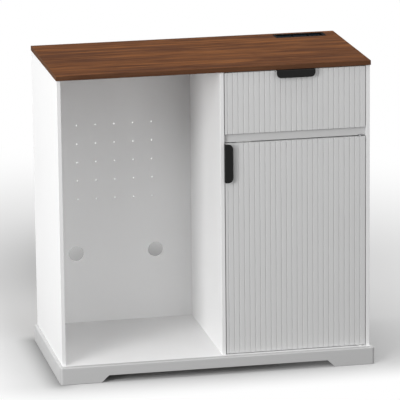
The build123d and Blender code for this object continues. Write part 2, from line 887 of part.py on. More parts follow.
# Pivot bracket under the rail, and the flanged bush in the base board
bore_radius = pin_radius + pin_running_clearance
bracket = block(
    pivot_x - bracket_half, pivot_x + bracket_half, pivot_y, bracket_back_y,
    rail_bottom, bracket_top
)
bracket += rod_z(pivot_x, pivot_y, rail_bottom, bracket_top, bracket_half)
bracket -= rod_z(pivot_x, pivot_y, rail_bottom, bracket_top, bore_radius)
bracket -= [bracket_screw(y, fit_clearance) for y in bracket_screw_ys]
nodes["pivot_bracket"] = bracket
nodes["pivot_bracket_screws"] = group([bracket_screw(y, 0) for y in bracket_screw_ys])
bush_top = base_top + bush_flange_thickness
bush = rod_z(pivot_x, pivot_y, bush_hole_bottom, base_top, bush_radius)
bush += rod_z(pivot_x, pivot_y, base_top, bush_top, bush_flange_radius)
bush -= rod_z(pivot_x, pivot_y, bush_hole_bottom, bush_top, bore_radius)
nodes["pivot_bush"] = bush

# Magnetic catch screwed up under the rail
magnet_left = (catch_left + catch_right - magnet_width) / 2
magnet_bottom = catch_bottom + magnet_lift
catch = block(catch_left, catch_right, catch_front_y, catch_back_y, catch_bottom, rail_bottom)
catch -= block(
    magnet_left - fit_clearance, magnet_left + magnet_width + fit_clearance,
    catch_front_y, catch_front_y + magnet_depth + fit_clearance,
    magnet_bottom - fit_clearance, magnet_bottom + magnet_height + fit_clearance
)
catch -= [catch_screw(x, fit_clearance) for x in catch_screw_xs]
nodes["catch_body"] = catch
nodes["catch_magnet"] = block(
    magnet_left, magnet_left + magnet_width, catch_front_y, catch_front_y + magnet_depth,
    magnet_bottom, magnet_bottom + magnet_height
)
nodes["catch_screws"] = group([catch_screw(x, 0) for x in catch_screw_xs])

# Drawer runners, left against the divider and right against the side panel
for side, wall_x, toward in (("left", divider_right, 1), ("right", right_inner, -1)):
    case, middle, drawer = runner_set(wall_x, toward)
    nodes["runner_case_" + side] = case
    nodes["runner_middle_" + side] = middle
    nodes["runner_drawer_" + side] = drawer
nodes["runner_case_screws"] = group(
    [runner_screw(divider_right, -1, y, 0) for y in runner_screw_ys]
    + [runner_screw(right_inner, 1, y, 0) for y in runner_screw_ys]
)
nodes["runner_drawer_screws"] = group(
    [runner_screw(box_left, 1, y, 0) for y in runner_screw_ys]
    + [runner_screw(box_right, -1, y, 0) for y in runner_screw_ys]
)

# Power unit: a flush bezel, a housing below it, two sockets, a charging block and a cord gland
window_left = power_left + bezel_rim
window_right = power_right - bezel_rim
window_front = power_front + bezel_rim
window_back = power_back - bezel_rim
bezel = rounded_slab(power_left, power_right, power_front, power_back,
                     bezel_under, overall_height, bezel_corner_radius)
bezel -= block(window_left, window_right, window_front, window_back, bezel_under, overall_height)
nodes["power_bezel"] = bezel
housing_bottom = bezel_under - housing_depth
housing = block(housing_left, housing_right, housing_front, housing_back,
                housing_bottom, bezel_under)
housing -= block(window_left, window_right, window_front, window_back,
                 housing_bottom + housing_wall, bezel_under)
nodes["power_housing"] = housing
power_middle_y = (power_front + power_back) / 2
gland_z = housing_bottom + housing_depth / 2
nodes["power_gland"] = rod_x(
    housing_left - gland_length, housing_left, power_middle_y, gland_z, gland_radius
)

block_top = bezel_under - socket_recess
gap_count = 4
blocks_length = 2 * socket_block_length + port_block_length
block_gap = (window_right - window_left - blocks_length) / gap_count


def power_block(x0, length):
    return block(x0, x0 + length, window_front, window_back,
                 block_top - socket_block_depth, block_top)


def socket_block(x0):
    piece = power_block(x0, socket_block_length)
    x = x0 + socket_block_length / 2
    low = block_top - slot_depth
    for side in (-1, 1):
        y = power_middle_y + side * slot_spacing / 2
        piece -= block(x - slot_height / 2, x + slot_height / 2,
                       y - slot_width / 2, y + slot_width / 2, low, block_top)
    piece -= rod_z(x - slot_spacing, power_middle_y, low, block_top, earth_radius)
    return piece


def charging_block(x0):
    piece = power_block(x0, port_block_length)
    x = x0 + port_block_length / 2
    low = block_top - slot_depth
    for side in (-1, 1):
        centre = x + side * port_spacing / 2
        near, far = power_middle_y - port_length / 2, power_middle_y + port_length / 2
        piece -= block(centre - port_width / 2, centre + port_width / 2, near, far, low, block_top)
        piece += block(centre - port_tongue / 2, centre + port_tongue / 2, near, far,
                       low, block_top - port_tongue)
    return piece


first_socket = window_left + block_gap
second_socket = first_socket + socket_block_length + block_gap
charging_left = second_socket + socket_block_length + block_gap
nodes["power_sockets"] = group([socket_block(first_socket), socket_block(second_socket)])
nodes["charging_ports"] = charging_block(charging_left)

# One STEP file for each piece or group of like pieces
os.makedirs("parts", exist_ok=True)
for name, shape in nodes.items():
    export_step(shape, "parts/" + name + ".step")
print(len(nodes), "nodes")
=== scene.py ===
import math

import bmesh
import bpy
from mathutils import Matrix, Vector


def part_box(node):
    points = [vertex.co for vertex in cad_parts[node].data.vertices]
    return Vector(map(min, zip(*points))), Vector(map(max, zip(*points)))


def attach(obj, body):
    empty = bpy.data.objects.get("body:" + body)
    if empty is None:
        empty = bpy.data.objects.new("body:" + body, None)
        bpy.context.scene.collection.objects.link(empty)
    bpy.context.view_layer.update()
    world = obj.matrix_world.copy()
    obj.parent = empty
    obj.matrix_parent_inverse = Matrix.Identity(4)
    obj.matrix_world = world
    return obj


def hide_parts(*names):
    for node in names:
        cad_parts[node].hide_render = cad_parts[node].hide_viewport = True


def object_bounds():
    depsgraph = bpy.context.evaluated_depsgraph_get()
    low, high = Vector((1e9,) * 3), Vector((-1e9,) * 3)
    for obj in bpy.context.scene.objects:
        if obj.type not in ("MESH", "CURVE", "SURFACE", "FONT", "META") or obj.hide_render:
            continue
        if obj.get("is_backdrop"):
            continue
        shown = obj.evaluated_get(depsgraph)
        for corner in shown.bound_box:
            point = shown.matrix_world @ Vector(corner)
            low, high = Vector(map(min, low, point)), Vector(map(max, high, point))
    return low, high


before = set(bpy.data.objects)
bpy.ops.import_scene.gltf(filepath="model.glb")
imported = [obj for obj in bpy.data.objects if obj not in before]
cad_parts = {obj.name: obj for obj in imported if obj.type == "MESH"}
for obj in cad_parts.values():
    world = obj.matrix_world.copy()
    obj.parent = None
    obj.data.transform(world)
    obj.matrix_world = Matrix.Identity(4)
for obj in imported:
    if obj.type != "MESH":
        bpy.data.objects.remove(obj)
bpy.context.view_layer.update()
mm = 0.001


# Floor glides. Four turned nylon discs that the cabinet stands on, one under each corner block.
# Each has a rounded rim, and a dish in its middle where a round-headed steel nail holds it.
def new_material(name):
    material = bpy.data.materials.new(name)
    material.use_nodes = True
    return material


def add_node(material, kind, inputs=(), **settings):
    node = material.node_tree.nodes.new("ShaderNode" + kind)
    for setting, value in settings.items():
        setattr(node, setting, value)
    for socket, value in dict(inputs).items():
        if isinstance(value, bpy.types.NodeSocket):
            material.node_tree.links.new(value, node.inputs[socket])
        else:
            node.inputs[socket].default_value = value
    return node


def dress(material, **inputs):
    """Sets or links the sockets of the material's own shader."""
    shader = material.node_tree.nodes["Principled BSDF"]
    for socket, value in inputs.items():
        target = shader.inputs[socket.replace("_", " ")]
        if isinstance(value, bpy.types.NodeSocket):
            material.node_tree.links.new(value, target)
        else:
            target.default_value = value


def object_place(material, scale=(1, 1, 1), shift=(0, 0, 0)):
    """The place on a piece in metres, scaled and then shifted."""
    coordinates = add_node(material, "TexCoord").outputs["Object"]
    inputs = {"Vector": coordinates, "Scale": scale, "Location": shift}
    return add_node(material, "Mapping", inputs).outputs["Vector"]


def noise(material, place, scale, detail=3.0, roughness=0.5, distortion=0.0):
    inputs = {
        "Vector": place, "Scale": scale, "Detail": detail,
        "Roughness": roughness, "Distortion": distortion,
    }
    return add_node(material, "TexNoise", inputs).outputs["Fac"]


def between(material, factor, low, high, start=0.3, end=0.7):
    """Spreads a factor from start to end over the values low to high."""
    inputs = {"Value": factor, "From Min": start, "From Max": end, "To Min": low, "To Max": high}
    return add_node(material, "MapRange", inputs).outputs["Result"]


def mixed(material, factor, first, second):
    """A colour that goes from first to second as a factor goes from 0 to 1."""
    node = add_node(material, "Mix", data_type="RGBA")
    sockets = {"Factor_Float": factor, "A_Color": first, "B_Color": second}
    for socket in node.inputs:
        if socket.identifier in sockets:
            value = sockets[socket.identifier]
            if isinstance(value, bpy.types.NodeSocket):
                material.node_tree.links.new(value, socket)
            else:
                socket.default_value = value
    return next(s for s in node.outputs if s.identifier == "Result_Color")


def bumped(material, height, strength, depth):
    inputs = {"Height": height, "Strength": strength, "Distance": depth}
    return add_node(material, "Bump", inputs).outputs["Normal"]


def moulded_plastic(name, light, dark, roughness, texture=700.0, gloss=0.5):
    """Moulded plastic with a fine spark texture and slow, faint changes of tone."""
    material = new_material(name)
    place = object_place(material)
    grain = noise(material, place, texture, 2.0)
    tone = noise(material, place, 25.0, 2.0)
    dress(
        material,
        Base_Color=mixed(material, tone, dark, light),
        Roughness=between(material, grain, roughness - 0.05, roughness + 0.05),
        Normal=bumped(material, grain, 0.12, 0.1 * mm),
        Specular_IOR_Level=gloss,
    )
    return material


nylon = moulded_plastic("off_white_nylon", (0.74, 0.74, 0.71, 1), (0.68, 0.68, 0.64, 1), 0.42)


def plated_steel(name, light, dark, roughness, grain_scale=(60, 60, 60)):
    """Plated metal: fine drawn lines, a cloudy spangle and slightly uneven gloss."""
    material = new_material(name)
    lines = noise(material, object_place(material, grain_scale), 18.0, 4.0)
    cloud = noise(material, object_place(material), 90.0, 3.0)
    dress(
        material,
        Base_Color=mixed(material, cloud, dark, light),
        Metallic=1.0,
        Roughness=between(material, lines, roughness - 0.07, roughness + 0.08),
        Normal=bumped(material, lines, 0.08, 0.05 * mm),
    )
    return material


zinc = plated_steel("zinc_plated_steel", (0.66, 0.67, 0.69, 1), (0.55, 0.56, 0.59, 1), 0.34)


def turned(profile, material=0, steps=32):
    """A shape on its own, spun round Z from a line of (radius, height) points."""
    bm = bmesh.new()
    rim = [bm.verts.new((radius, 0, height)) for radius, height in profile]
    line = [bm.edges.new(pair) for pair in zip(rim, rim[1:])]
    bmesh.ops.spin(
        bm, geom=rim + line, cent=(0, 0, 0), axis=(0, 0, 1),
        angle=math.tau, steps=steps, use_merge=True
    )
    bmesh.ops.remove_doubles(bm, verts=bm.verts, dist=1e-7)
    bmesh.ops.recalc_face_normals(bm, faces=bm.faces)
    for face in bm.faces:
        face.material_index = material
    return bm


def put(shape, bm, places):
    """Adds a small shape to a piece at each of the places, and lets go of it."""
    for place in places:
        mesh = bpy.data.meshes.new("copy")
        shape.to_mesh(mesh)
        mesh.transform(place)
        bm.from_mesh(mesh)
        bpy.data.meshes.remove(mesh)
    shape.free()


def as_piece(bm, name, *materials, sheet=0.0, arris=0.0):
    """Makes the finished object of a bmesh. A sheet gets its thickness, and an arris is eased."""
    if not sheet:
        bmesh.ops.recalc_face_normals(bm, faces=bm.faces)
    mesh = bpy.data.meshes.new(name)
    bm.to_mesh(mesh)
    bm.free()
    for material in materials:
        mesh.materials.append(material)
    mesh.shade_smooth()
    mesh.set_sharp_from_angle(angle=math.radians(35))
    piece = bpy.data.objects.new(name, mesh)
    bpy.context.scene.collection.objects.link(piece)
    if sheet:
        thickness = piece.modifiers.new("sheet", "SOLIDIFY")
        thickness.thickness = sheet
        thickness.offset = 0.0
        thickness.use_even_offset = True
    if arris:
        easing = piece.modifiers.new("eased_arris", "BEVEL")
        easing.width = arris
        easing.segments = 2
        easing.limit_method = "ANGLE"
        easing.angle_limit = math.radians(45)
    weighted = piece.modifiers.new("even_normals", "WEIGHTED_NORMAL")
    weighted.keep_sharp = True
    return piece


glide_radius, rim_width, rim_height = 12.0 * mm, 1.0 * mm, 1.1 * mm
shoulder_inset, shoulder_height = 0.3 * mm, 0.35 * mm
dish_radius, dish_slope, dish_depth = 5.4 * mm, 0.8 * mm, 1.3 * mm
nail_radius, nail_crown, crown_radius, crown_fall = 3.4 * mm, 0.35 * mm, 2.0 * mm, 0.2 * mm
glide_low, glide_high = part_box("floor_glides")
glide_height = glide_high.z - glide_low.z
glide_profile = [
    (0.0, dish_depth), (dish_radius - dish_slope, dish_depth), (dish_radius, 0.0),
    (glide_radius - rim_width, 0.0), (glide_radius - shoulder_inset, shoulder_height),
    (glide_radius, rim_height), (glide_radius, glide_height), (0.0, glide_height),
]
nail_profile = [
    (0.0, nail_crown), (crown_radius, nail_crown + crown_fall),
    (nail_radius, dish_depth), (0.0, dish_depth),
]
glide_spots = [
    Matrix.Translation((x, y, glide_low.z))
    for x in (glide_low.x + glide_radius, glide_high.x - glide_radius)
    for y in (glide_low.y + glide_radius, glide_high.y - glide_radius)
]
glide_mesh = bmesh.new()
put(turned(glide_profile), glide_mesh, glide_spots)
put(turned(nail_profile, material=1), glide_mesh, glide_spots)
glides = as_piece(glide_mesh, "nylon_glides", nylon, zinc)
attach(glides, "carcass")
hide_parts("floor_glides")


# Corner blocks and bearers. Sawn softwood, glued and pinned inside the plinth, out of sight.
# The four blocks carry the glides, and the two bearers stiffen the base board.
def sawn_wood(name, along):
    """Unfinished softwood with its rings drawn out along one axis: 0 is X, 1 is Y and 2 is Z."""
    material = new_material(name)
    stretch = [38.0, 38.0, 38.0]
    stretch[along] = 1.6
    rings = noise(material, object_place(material, stretch), 1.6, 5.0, 0.6, 0.4)
    fibres = noise(material, object_place(material, [12 * s for s in stretch]), 1.2, 3.0)
    straw, rust = (0.66, 0.47, 0.27, 1), (0.47, 0.27, 0.12, 1)
    wood = mixed(material, between(material, rings, 0, 1, 0.4, 0.66), straw, rust)
    dress(
        material,
        Base_Color=mixed(material, between(material, fibres, 0.0, 0.35), wood, rust),
        Roughness=between(material, fibres, 0.6, 0.8),
        Normal=bumped(material, fibres, 0.3, 0.2 * mm),
        Specular_IOR_Level=0.3,
    )
    return material


def joined_copy(node):
    """The frame's own mesh of a node, copied, with its loose triangles joined to flat faces."""
    bm = bmesh.new()
    bm.from_mesh(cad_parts[node].data)
    bmesh.ops.remove_doubles(bm, verts=bm.verts, dist=1e-6)
    bmesh.ops.dissolve_limit(
        bm, angle_limit=math.radians(0.5), use_dissolve_boundaries=False,
        verts=bm.verts, edges=bm.edges
    )
    return bm


def ease(bm, arris, shortest=0.0, segments=2):
    """Rounds the outward corners of a board that are longer than shortest."""
    corners = [
        edge for edge in bm.edges
        if edge.is_manifold and edge.is_convex and edge.calc_length() > shortest
        and edge.calc_face_angle() > math.radians(60)
    ]
    bmesh.ops.bevel(
        bm, geom=corners, offset=arris, offset_type="OFFSET", affect="EDGES",
        segments=segments, profile=0.5, clamp_overlap=True, material=-1
    )


pine_upright = sawn_wood("sawn_pine_blocks", 2)
pine_bearer = sawn_wood("sawn_pine_bearers", 1)
saw_arris = 0.8 * mm
for node, name, wood in (
    ("corner_blocks", "pine_corner_blocks", pine_upright),
    ("plinth_bearers", "pine_bearers", pine_bearer),
):
    block_mesh = joined_copy(node)
    ease(block_mesh, saw_arris)
    block = as_piece(block_mesh, name, wood)
    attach(block, "carcass")
    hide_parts(node)


# Plinth. A front apron with two bracket feet, two side boards and a rear board, all of lacquered
# fibreboard, painted greyer than the boards above as shade near the floor, the apron greyest.
# The apron's face corners and top edge are routed round.
def grey(value):
    return (value, value, value, 1.0)


def lacquered_board(name, light, dark, roughness=0.42):
    """Matt lacquer on fibreboard: a faint orange peel, and tone that drifts slightly."""
    material = new_material(name)
    place = object_place(material)
    drift = noise(material, place, 5.0, 3.0)
    peel = noise(material, place, 420.0, 2.0)
    smear = noise(material, place, 35.0, 4.0)
    dress(
        material,
        Base_Color=mixed(material, drift, dark, light),
        Roughness=between(material, smear, roughness - 0.05, roughness + 0.05),
        Normal=bumped(material, peel, 0.05, 0.2 * mm),
        Specular_IOR_Level=0.3,
    )
    return material


# Painted shade: both plinth tones are greyer than the white boards, standing in for the shade near the
# floor.
apron_painted_shade_lacquer = lacquered_board("apron_painted_shade_lacquer", grey(0.49), grey(0.47))
plinth_painted_shade_lacquer = lacquered_board("plinth_painted_shade_lacquer", grey(0.56), grey(0.54))
plinth_arris = 0.3 * mm
for node, name, lacquer in (
    ("plinth_front", "front_apron", apron_painted_shade_lacquer),
    ("plinth_left", "left_plinth_board", plinth_painted_shade_lacquer),
    ("plinth_right", "right_plinth_board", plinth_painted_shade_lacquer),
    ("plinth_rear", "rear_plinth_board", plinth_painted_shade_lacquer),
):
    plinth_mesh = joined_copy(node)
    ease(plinth_mesh, plinth_arris)
    plinth_board = as_piece(plinth_mesh, name, lacquer)
    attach(plinth_board, "carcass")
    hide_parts(node)


# Carcass boards. The base board, the two sides and the divider, in white lacquered board, bored
# for dowels, cams and shelf pins and grooved for the backs. Their front edges are painted a greyer
# band of shade, and the base board's rim outside the sides takes the plinth's painted shade.
white_lacquer = lacquered_board("white_lacquer", grey(0.88), grey(0.86))
# Painted shade: the front edges' greyer tone stands in for the shade on faces that look forwards.
front_edge_painted_shade = lacquered_board("front_edge_painted_shade", grey(0.73), grey(0.71), 0.48)
panel_arris, shortest_eased = 0.5 * mm, 20 * mm
side_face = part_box("right_side_panel")[1].x
for node, name in (
    ("base_board", "floor_board"),
    ("left_side_panel", "left_upright"),
    ("divider_panel", "middle_upright"),
    ("right_side_panel", "right_upright"),
):
    panel_mesh = joined_copy(node)
    ease(panel_mesh, panel_arris, shortest_eased)
    for face in panel_mesh.faces:
        face.material_index = 1 if face.normal.y < -0.9 else 0
    # The base board's rim outside the sides is coloured with the plinth's painted shade.
    if node == "base_board":
        for side in (-1, 1):
            bmesh.ops.bisect_plane(
                panel_mesh, geom=panel_mesh.verts[:] + panel_mesh.edges[:] + panel_mesh.faces[:],
                plane_co=(side * side_face, 0, 0), plane_no=(1, 0, 0), dist=1e-7
            )
        for face in panel_mesh.faces:
            if abs(face.calc_center_median().x) > side_face:
                face.material_index = 2
    panel = as_piece(panel_mesh, name, white_lacquer, front_edge_painted_shade, plinth_painted_shade_lacquer)
    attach(panel, "carcass")
    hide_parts(node)


# Back panels. Thin fibreboard in the carcass's grooves, faced white towards the front and plain
# behind. The one in the fridge bay has rows of air vents and two holes for cables.
def plain_fibreboard(name):
    """The bare side of pressed fibreboard: brown, with darker flecks and a soft felted surface."""
    material = new_material(name)
    place = object_place(material)
    flecks = noise(material, place, 260.0, 4.0, 0.6)
    clouds = noise(material, place, 9.0, 3.0)
    light, dark = (0.42, 0.29, 0.18, 1), (0.31, 0.2, 0.115, 1)
    board = mixed(material, between(material, clouds, 0.0, 0.6), light, dark)
    dress(
        material,
        Base_Color=mixed(material, between(material, flecks, 0, 0.7, 0.5, 0.8), board, dark),
        Roughness=between(material, flecks, 0.72, 0.88),
        Normal=bumped(material, flecks, 0.2, 0.15 * mm),
        Specular_IOR_Level=0.25,
    )
    return material


white_facing = lacquered_board("white_facing", grey(0.88), grey(0.86))
bare_fibreboard = plain_fibreboard("bare_fibreboard")
hole_arris = 0.4 * mm
for node, name in (("left_back_panel", "vented_back"), ("right_back_panel", "closed_back")):
    back_mesh = joined_copy(node)
    ease(back_mesh, hole_arris)
    for face in back_mesh.faces:
        face.material_index = 1 if face.normal.y > 0.9 else 0
    back = as_piece(back_mesh, name, white_facing, bare_fibreboard)
    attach(back, "carcass")
    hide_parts(node)


# Rail and fixed shelf. The rail closes the gap between drawer and door, lies back from their faces
# and is painted a shade greyer for the shade in its recess; the shelf behind it is the drawer's floor.
# Painted shade: the rail's greyer lacquer stands in for the shade in its recess behind the fronts.
rail_painted_shade_lacquer = lacquered_board("rail_painted_shade_lacquer", grey(0.53), grey(0.51))
rail_arris = 0.6 * mm
for node, name, lacquer in (
    ("mid_rail", "cross_rail", rail_painted_shade_lacquer),
    ("dust_board", "fixed_shelf", white_lacquer),
):
    rail_mesh = joined_copy(node)
    ease(rail_mesh, rail_arris, shortest_eased)
    rail = as_piece(rail_mesh, name, lacquer)
    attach(rail, "carcass")
    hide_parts(node)


# Adjustable shelf. A loose lacquered board in the cupboard that lies on four pins and can be moved
# to another row of holes.
shelf_arris = 0.8 * mm
shelf_mesh = joined_copy("adjustable_shelf")
ease(shelf_mesh, shelf_arris, shortest=5 * mm)
shelf = as_piece(shelf_mesh, "loose_shelf", white_lacquer)
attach(shelf, "carcass")
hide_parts("adjustable_shelf")


# Shelf pins. Turned and nickel-plated pins that push into the panels, each with a flange that
# stops it at the panel's face.
def solids_of(node):
    """The low and high corners of each separate solid of a node."""
    bm = joined_copy(node)
    waiting = set(bm.verts)
    boxes = []
    while waiting:
        found = [waiting.pop()]
        for vert in found:
            for edge in vert.link_edges:
                other = edge.other_vert(vert)
                if other in waiting:
                    waiting.discard(other)
                    found.append(other)
        low = Vector([min(vert.co[axis] for vert in found) for axis in range(3)])
        high = Vector([max(vert.co[axis] for vert in found) for axis in range(3)])
        boxes.append((low, high))
    bm.free()
    return sorted(boxes, key=lambda corners: tuple(corners[0]))


def standing(outwards, place):
    """Turns a shape's Z to a direction and sets it at a place."""
    turn = Vector(outwards).to_track_quat("Z", "X").to_matrix().to_4x4()
    return Matrix.Translation(place) @ turn


def end_of(corners, outwards):
    """The middle of the end of a solid's box that faces a direction, and the box's length there."""
    low, high = corners
    outwards = Vector(outwards)
    length = abs((high - low).dot(outwards))
    return (low + high) / 2 + outwards * length / 2, length


def out_of_panel(corners):
    """Out of the right panel is to the left, and out of the divider or the left panel to the right."""
    return (1, 0, 0) if corners[0].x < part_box("divider_panel")[1].x else (-1, 0, 0)


nickel = plated_steel("nickel_plated_steel", (0.7, 0.69, 0.66, 1), (0.6, 0.59, 0.56, 1), 0.28)
pin_radius, pin_in_board, pin_chamfer = 2.5 * mm, 8.85 * mm, 0.5 * mm
flange_radius, flange_thickness, flange_easing = 5.0 * mm, 1.0 * mm, 0.3 * mm
nose_easing = 0.9 * mm
pin_mesh = bmesh.new()
for corners in solids_of("shelf_pins"):
    outwards = out_of_panel(corners)
    end, length = end_of(corners, outwards)
    flange_low = pin_in_board - length
    flange_high = flange_low + flange_thickness
    pin_profile = [
        (0, -length), (pin_radius - pin_chamfer, -length), (pin_radius, pin_chamfer - length),
        (pin_radius, flange_low), (flange_radius - flange_easing, flange_low),
        (flange_radius, flange_low + flange_easing), (flange_radius, flange_high - flange_easing),
        (flange_radius - flange_easing, flange_high), (pin_radius, flange_high),
        (pin_radius, -nose_easing), (pin_radius - nose_easing / 3, -nose_easing / 3),
        (pin_radius - nose_easing, 0), (0, 0),
    ]
    put(turned(pin_profile), pin_mesh, [standing(outwards, end)])
pins = as_piece(pin_mesh, "turned_shelf_pins", nickel)
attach(pins, "carcass")
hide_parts("shelf_pins")


# Cam locks. Die-cast discs that turn in their pockets to draw the bolts tight, each with a cross
# for the screwdriver in its face. Ten hold the carcass, and four the drawer's sides.
cross_taper = 0.62


def cross_headed(profile, arm, half_width, depth, steps=28):
    """A turned shape whose open top, its profile's last point, closes round a sunk cross."""
    bm = turned(profile, steps=steps)
    top = profile[-1][1]
    rim = [edge for edge in bm.edges if edge.is_boundary]
    corners = [(arm, -half_width), (arm, half_width), (half_width, half_width)]
    outline = []
    for quarter in range(4):
        turn = Matrix.Rotation(quarter * math.pi / 2, 3, "Z")
        outline += [bm.verts.new(turn @ Vector((x, y, top))) for x, y in corners]
    cross = [bm.edges.new((a, b)) for a, b in zip(outline, outline[1:] + outline[:1])]
    bmesh.ops.bridge_loops(bm, edges=rim + cross)
    sunk = bmesh.ops.extrude_edge_only(bm, edges=cross)["geom"]
    sunk_verts = [item for item in sunk if isinstance(item, bmesh.types.BMVert)]
    sunk_edges = [item for item in sunk if isinstance(item, bmesh.types.BMEdge)]
    sunk_edges = [edge for edge in sunk_edges if edge.is_boundary]
    bmesh.ops.translate(bm, verts=sunk_verts, vec=(0, 0, -depth))
    bmesh.ops.scale(bm, verts=sunk_verts, vec=(cross_taper, cross_taper, 1))
    bmesh.ops.edgeloop_fill(bm, edges=sunk_edges)
    bmesh.ops.recalc_face_normals(bm, faces=bm.faces)
    return bm


die_cast = plated_steel("die_cast_zinc", (0.6, 0.6, 0.61, 1), (0.47, 0.47, 0.49, 1), 0.42, (9, 9, 9))
cam_radius, cam_chamfer = 7.5 * mm, 0.5 * mm
waist_top, waist_foot, waist_slope, waist_depth = 2.0 * mm, 3.0 * mm, 0.2 * mm, 0.35 * mm
rim_radius, rim_slope, face_radius, face_depth = 5.4 * mm, 0.3 * mm, 4.4 * mm, 0.35 * mm
cam_arm, cam_half_width, cam_sink = 3.6 * mm, 0.6 * mm, 2.6 * mm


def cam_locks(node, name, body, faces_out):
    """One cam in each pocket of a node; faces_out gives the way that a cam's face looks."""
    bm = bmesh.new()
    for corners in solids_of(node):
        outwards = faces_out(corners)
        end, length = end_of(corners, outwards)
        profile = [
            (0, -length), (cam_radius, -length), (cam_radius, -waist_foot),
            (cam_radius - waist_depth, waist_slope - waist_foot),
            (cam_radius - waist_depth, -waist_slope - waist_top), (cam_radius, -waist_top),
            (cam_radius, -cam_chamfer), (cam_radius - cam_chamfer, 0), (rim_radius, 0),
            (rim_radius - rim_slope, -face_depth), (face_radius, -face_depth),
        ]
        cam = cross_headed(profile, cam_arm, cam_half_width, cam_sink)
        put(cam, bm, [standing(outwards, end)])
    cams = as_piece(bm, name, die_cast)
    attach(cams, body)
    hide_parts(node)


def out_of_board(corners):
    """A cam that lies flat looks down out of the fixed shelf, and the others look out of a panel."""
    low, high = corners
    lies_flat = high.z - low.z < high.y - low.y
    return (0, 0, -1) if lies_flat else out_of_panel(corners)


cam_locks("cam_locks", "carcass_cams", "carcass", out_of_board)


# Screws. Zinc-plated, with cross recesses, their heads flush or sunk: under the base board,
# through the runners, the catch, the pivot bracket and the pulls, and into the drawer's back.
screw_point, raised_edge, sunk_edge, sunk_easing = 2.5 * mm, 0.35 * mm, 0.25 * mm, 0.15 * mm
flat_share, least_rounding = 0.8, 0.3 * mm
cross_arm, cross_half_width, cross_depth = 0.72, 0.17, 0.55


def screws(node, name, body, faces_out, head_radius, head_height, shank_radius, sunk=True):
    """Screws in the places of a node's solids; faces_out gives the way that a head looks."""
    bm = bmesh.new()
    for corners in solids_of(node):
        outwards = faces_out(corners) if callable(faces_out) else faces_out
        end, length = end_of(corners, outwards)
        flat_radius = min(flat_share * head_radius, head_radius - least_rounding)
        head = [(head_radius, -head_height), (head_radius, -raised_edge)]
        if sunk:
            head = [(head_radius, -sunk_edge), (head_radius - sunk_easing, -0.2 * sunk_edge)]
        profile = [(0, -length), (shank_radius, screw_point - length), (shank_radius, -head_height)]
        screw = cross_headed(
            profile + head + [(flat_radius, 0)], cross_arm * flat_radius,
            cross_half_width * head_radius, cross_depth * head_radius, steps=24
        )
        put(screw, bm, [standing(outwards, end)])
    made = as_piece(bm, name, zinc)
    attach(made, body)
    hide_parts(node)


board_screw = {"head_radius": 4.0 * mm, "head_height": 3.0 * mm, "shank_radius": 2.4 * mm}
screws("base_screws", "base_board_screws", "carcass", (0, 0, -1), **board_screw)


# Wooden dowels and cam bolts. Beech dowels glued into the boards' edges, and threaded steel bolts
# that the cams grip. They lie inside the boards.
def paint(node, material):
    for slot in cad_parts[node].material_slots:
        slot.material = material


beech = sawn_wood("beech_dowel", 2)
paint("panel_dowels", beech)
paint("cam_bolts", zinc)


# Top board. Fibreboard faced with walnut-grain laminate, the grain running from side to side, with
# edge strips of a plainer grain that follows each edge, and a cut-out for the power unit.
deep_walnut = (0.054, 0.0175, 0.0055)
brown_walnut = (0.126, 0.0455, 0.0127)
amber_walnut = (0.217, 0.084, 0.024)
grain_stretch = 0.085


def walnut(name, grain_along, tint, figure=1.0):
    """Satin walnut-grain laminate: broad bands, long streaks, amber glints and fine dark pores.
    The grain lies along X if grain_along is 0 and along Y if it is 1, and figure is its strength.
    """
    material = new_material(name)

    def grain_place(fineness, shift=(0, 0, 0)):
        scale = [fineness, fineness, fineness]
        scale[grain_along] *= grain_stretch
        return object_place(material, scale, shift)

    bands = noise(material, grain_place(26, (4, 2, 0)), 1.0, 3.0, 0.55, 0.3)
    streaks = noise(material, grain_place(70), 1.0, 6.0, 0.65, 0.35)
    glints = noise(material, grain_place(40, (3, 7, 1)), 1.0, 4.0, 0.6, 0.2)
    pores = noise(material, grain_place(800), 1.0, 2.0)
    deep, brown, amber = (
        (red * tint[0], green * tint[1], blue * tint[2], 1)
        for red, green, blue in (deep_walnut, brown_walnut, amber_walnut)
    )
    wood = mixed(material, between(material, bands, 1 - 0.8 * figure, 1, 0.36, 0.56), deep, brown)
    wood = mixed(material, between(material, streaks, 0.8 * figure, 0.0, 0.36, 0.5), wood, deep)
    wood = mixed(material, between(material, glints, 0.0, 0.9 * figure, 0.5, 0.66), wood, amber)
    wood = mixed(material, between(material, pores, 0.0, 0.4, 0.58, 0.72), wood, deep)
    dress(
        material,
        Base_Color=wood,
        Roughness=between(material, streaks, 0.68, 0.58),
        Normal=bumped(material, pores, 0.1, 0.1 * mm),
        Specular_IOR_Level=0.03,
    )
    return material


walnut_face = walnut("walnut_laminate", 0, (0.9, 0.86, 0.83))
walnut_front_strip = walnut("walnut_edge_strip", 0, (0.8, 1.0, 1.85), figure=0.4)
walnut_end_strip = walnut("walnut_end_strip", 1, (0.8, 0.95, 1.4), figure=0.5)
top_mesh = joined_copy("top_board")
for face in top_mesh.faces:
    if abs(face.normal.y) > 0.7:
        face.material_index = 1
    elif abs(face.normal.x) > 0.7:
        face.material_index = 2
top = as_piece(top_mesh, "walnut_top", walnut_face, walnut_front_strip, walnut_end_strip)
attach(top, "carcass")
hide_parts("top_board")


